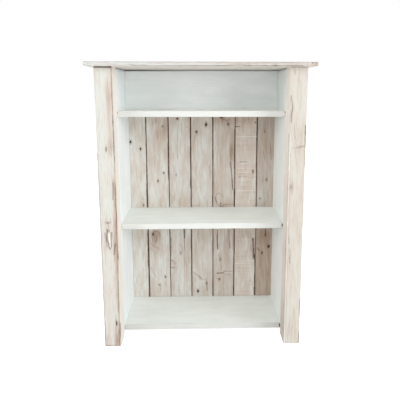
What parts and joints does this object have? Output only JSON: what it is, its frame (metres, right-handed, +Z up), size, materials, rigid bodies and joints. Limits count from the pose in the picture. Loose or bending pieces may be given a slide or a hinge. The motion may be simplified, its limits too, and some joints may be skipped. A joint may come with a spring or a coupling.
{
  "type": "rustic bookcase",
  "caption": "Free-standing rustic bookcase with thick posts, an overhanging top board, fixed white shelves and an upright whitewashed plank back.",
  "frame": {"origin": "on the floor, under the middle of the top board", "axes": "+Z up; the open front faces -Y; +X is to the right of someone who looks at the front"},
  "size_m": [0.688, 0.301, 0.915],
  "materials": {
    "top_finish": "whitewashed worn timber, matte",
    "post_finish": "whitewashed worn timber, matte",
    "plank_finish": "whitewashed reclaimed planks, matte",
    "white_paint": "white brushed paint, satin",
    "bare_wood": "bare softwood",
    "fastener_steel": "zinc plated steel"
  },
  "bodies": {
    "root": {"top_board": "top_finish", "front_post_left": "post_finish", "front_post_right": "post_finish", "rear_post_left": "post_finish", "rear_post_right": "post_finish", "side_panel_left": "white_paint", "side_panel_right": "white_paint", "upper_shelf": "white_paint", "middle_shelf": "white_paint", "bottom_shelf": "white_paint", "upper_back_board": "white_paint", "top_rear_rail": "bare_wood", "back_plank_1": "plank_finish", "back_plank_2": "plank_finish", "back_plank_3": "plank_finish", "back_plank_4": "plank_finish", "back_plank_5": "plank_finish", "back_plank_6": "plank_finish", "back_plank_7": "plank_finish", "top_dowels": "bare_wood", "side_dowels": "bare_wood", "shelf_screws": "fastener_steel", "rail_end_screws": "fastener_steel", "rear_post_screws": "fastener_steel", "rail_screws": "fastener_steel", "back_board_screws": "fastener_steel", "plank_nails": "fastener_steel"}
  },
  "joints": []
}
